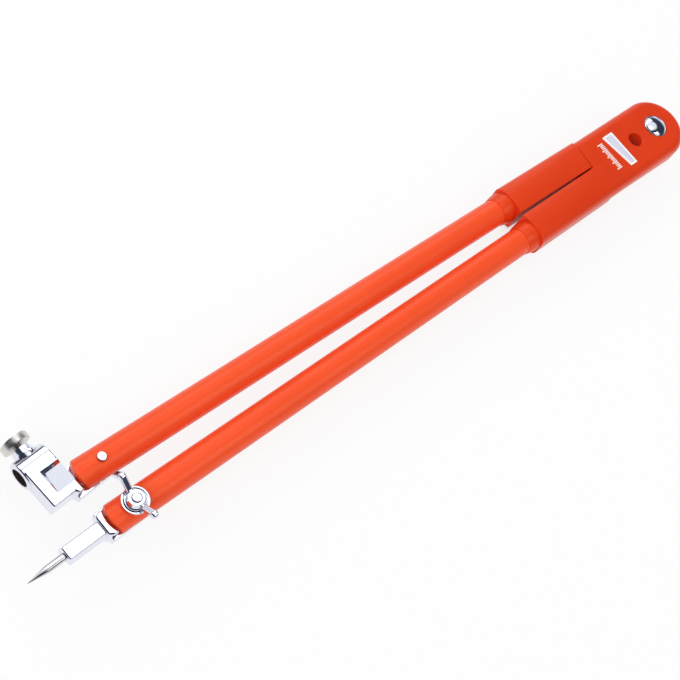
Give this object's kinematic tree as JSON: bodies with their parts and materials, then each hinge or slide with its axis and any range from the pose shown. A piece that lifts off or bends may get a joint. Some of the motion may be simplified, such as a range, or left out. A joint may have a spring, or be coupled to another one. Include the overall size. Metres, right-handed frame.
{
  "type": "marking compass",
  "caption": "Large two-legged compass: painted tubes hinged in a moulded head, a needle foot and a pencil clamp on swivelling joints.",
  "frame": {"origin": "centre of the hanging hole, half way through the head, in the plane of the tube axes", "axes": "+X from the feet to the head along the needle leg, +Y towards the pencil leg, +Z out of the front face"},
  "size_m": [0.5107, 0.0749, 0.0366],
  "materials": {
    "orange_moulding": "satin moulding",
    "orange_paint": "satin enamel on steel tube",
    "label": "plain pale plate",
    "chrome": "bright plating",
    "nickel": "knurled nickel plating",
    "ground_steel": "ground",
    "steel": "zinc plated",
    "nylon": "plain"
  },
  "bodies": {
    "needle_leg": {"head_front_half": "orange_moulding", "label_plate": "label", "needle_leg_tube": "orange_paint", "needle_leg_saddle": "orange_moulding", "pivot_bolt": "chrome", "pivot_friction_washer": "nylon", "pivot_back_washer": "steel", "pivot_lock_nut": "steel", "needle_clamp_bolt": "chrome", "needle_back_washer": "steel"},
    "pencil_leg": {"head_back_half": "orange_moulding", "pivot_bush": "nylon", "pencil_leg_tube": "orange_paint", "pencil_leg_saddle": "orange_moulding", "pencil_clamp_bolt": "chrome"},
    "needle_foot": {"needle_foot": "chrome", "needle_point": "ground_steel"},
    "needle_washer": {"needle_dished_washer": "chrome"},
    "needle_nut": {"needle_wing_nut": "chrome"},
    "pencil_clamp": {"pencil_clamp": "chrome"},
    "pencil_washer": {"pencil_dished_washer": "chrome"},
    "pencil_nut": {"pencil_wing_nut": "chrome"},
    "screw_shank": {"thumb_screw_shank": "steel"},
    "screw_knob": {"thumb_screw_knob": "nickel"}
  },
  "joints": [
    {"name": "leg_opening", "type": "hinge", "parent": "needle_leg", "child": "pencil_leg", "pos_m": [0.0208, 0, 0], "axis": [0, 0, -1], "range_deg": [-0.8, 100]},
    {"name": "needle_foot_swing", "type": "hinge", "parent": "needle_leg", "child": "needle_foot", "pos_m": [-0.4065, -0.01035, -0.004], "axis": [0, 0, 1], "range_deg": [-6, 60]},
    {"name": "needle_nut_turn", "type": "hinge", "parent": "needle_washer", "child": "needle_nut", "pos_m": [-0.4065, -0.01035, 0.011], "axis": [0, 0, 1], "range_deg": [0, 720]},
    {"name": "needle_washer_travel", "type": "slide", "parent": "needle_leg", "child": "needle_washer", "axis": [0, 0, 1], "range_m": [0, 0.0016]},
    {"name": "pencil_clamp_swing", "type": "hinge", "parent": "pencil_leg", "child": "pencil_clamp", "pos_m": [-0.4063, 0.01669, -0.004], "axis": [0, 0, -1], "range_deg": [-4, 80]},
    {"name": "pencil_nut_turn", "type": "hinge", "parent": "pencil_washer", "child": "pencil_nut", "pos_m": [-0.4063, 0.01669, -0.011], "axis": [0, 0, -1], "range_deg": [0, 720]},
    {"name": "pencil_washer_travel", "type": "slide", "parent": "pencil_leg", "child": "pencil_washer", "axis": [0, 0, -1], "range_m": [0, 0.0016]},
    {"name": "thumb_screw_turn", "type": "hinge", "parent": "screw_shank", "child": "screw_knob", "pos_m": [-0.43285, 0.04467, -0.0025], "axis": [-0.0793, 0.9968, 0], "range_deg": [-540, 1080]},
    {"name": "screw_shank_travel", "type": "slide", "parent": "pencil_clamp", "child": "screw_shank", "axis": [-0.0793, 0.9968, 0], "range_m": [-0.0012, 0.0024]}
  ],
  "couplings": [
    {"joint": "needle_nut_turn", "follows": "needle_washer_travel", "rad_per_m": 7854},
    {"joint": "pencil_nut_turn", "follows": "pencil_washer_travel", "rad_per_m": 7854},
    {"joint": "thumb_screw_turn", "follows": "screw_shank_travel", "rad_per_m": 7854}
  ]
}
